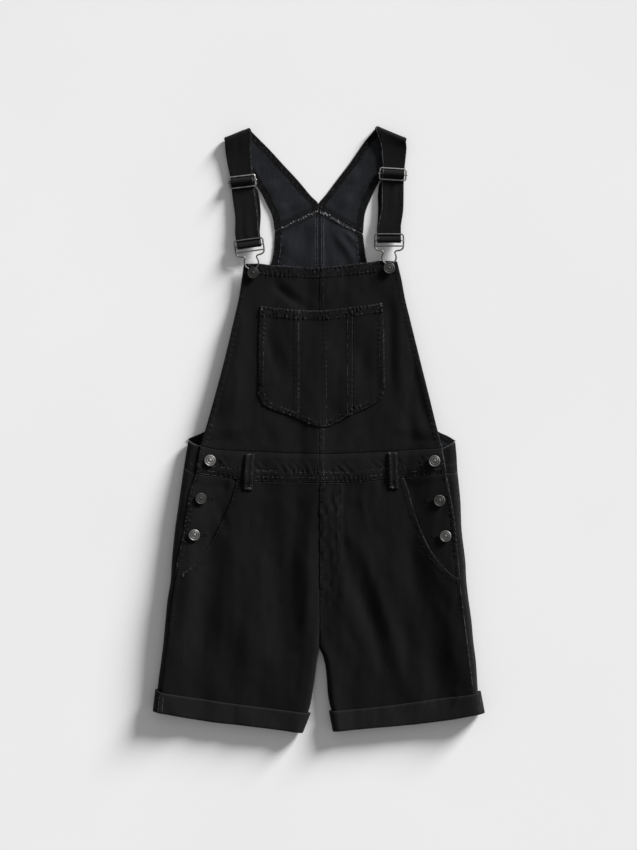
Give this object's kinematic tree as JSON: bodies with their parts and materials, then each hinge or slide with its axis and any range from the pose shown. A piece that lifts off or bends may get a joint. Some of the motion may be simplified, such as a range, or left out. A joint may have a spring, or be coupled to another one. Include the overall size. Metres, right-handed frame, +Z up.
{
  "type": "shortalls",
  "caption": "Denim shortalls laid flat: bib with patch pocket, crossed back straps with sliders and wire hooks, buttoned side openings, hip pockets and turned-up cuffs.",
  "frame": {"origin": "middle of the garment's outline, on the surface that it lies on", "axes": "+Z up out of the garment's front, +Y towards the shoulder ends of the straps, +X towards the right edge as seen from above"},
  "size_m": [0.4794, 0.8782, 0.0257],
  "materials": {
    "denim": "black cotton denim, right side out, with dark grey topstitching",
    "denim_wrong_side": "wrong side of black denim, a dull blue grey",
    "nickel": "antique nickel wire",
    "pewter": "dull pewter tack button with plain rings"
  },
  "bodies": {
    "root": {"back_left": "denim", "back_right": "denim", "back_bib_left": "denim_wrong_side", "back_bib_right": "denim_wrong_side", "front_left": "denim", "front_right": "denim", "hip_yoke_left": "denim", "hip_yoke_right": "denim", "waistband_front_left": "denim", "waistband_front_right": "denim", "waistband_back": "denim", "belt_loop_left": "denim", "belt_loop_right": "denim", "bib_left": "denim", "bib_right": "denim", "chest_pocket_left": "denim", "chest_pocket_middle": "denim", "chest_pocket_right": "denim", "cuff_left": "denim_wrong_side", "cuff_right": "denim_wrong_side", "strap_left": "denim", "strap_right": "denim", "slider_left": "nickel", "slider_right": "nickel", "hook_left": "nickel", "hook_right": "nickel", "side_button_left_1": "pewter", "side_button_left_2": "pewter", "side_button_left_3": "pewter", "side_button_right_1": "pewter", "side_button_right_2": "pewter", "side_button_right_3": "pewter", "bib_button_left": "pewter", "bib_button_right": "pewter"}
  },
  "joints": []
}
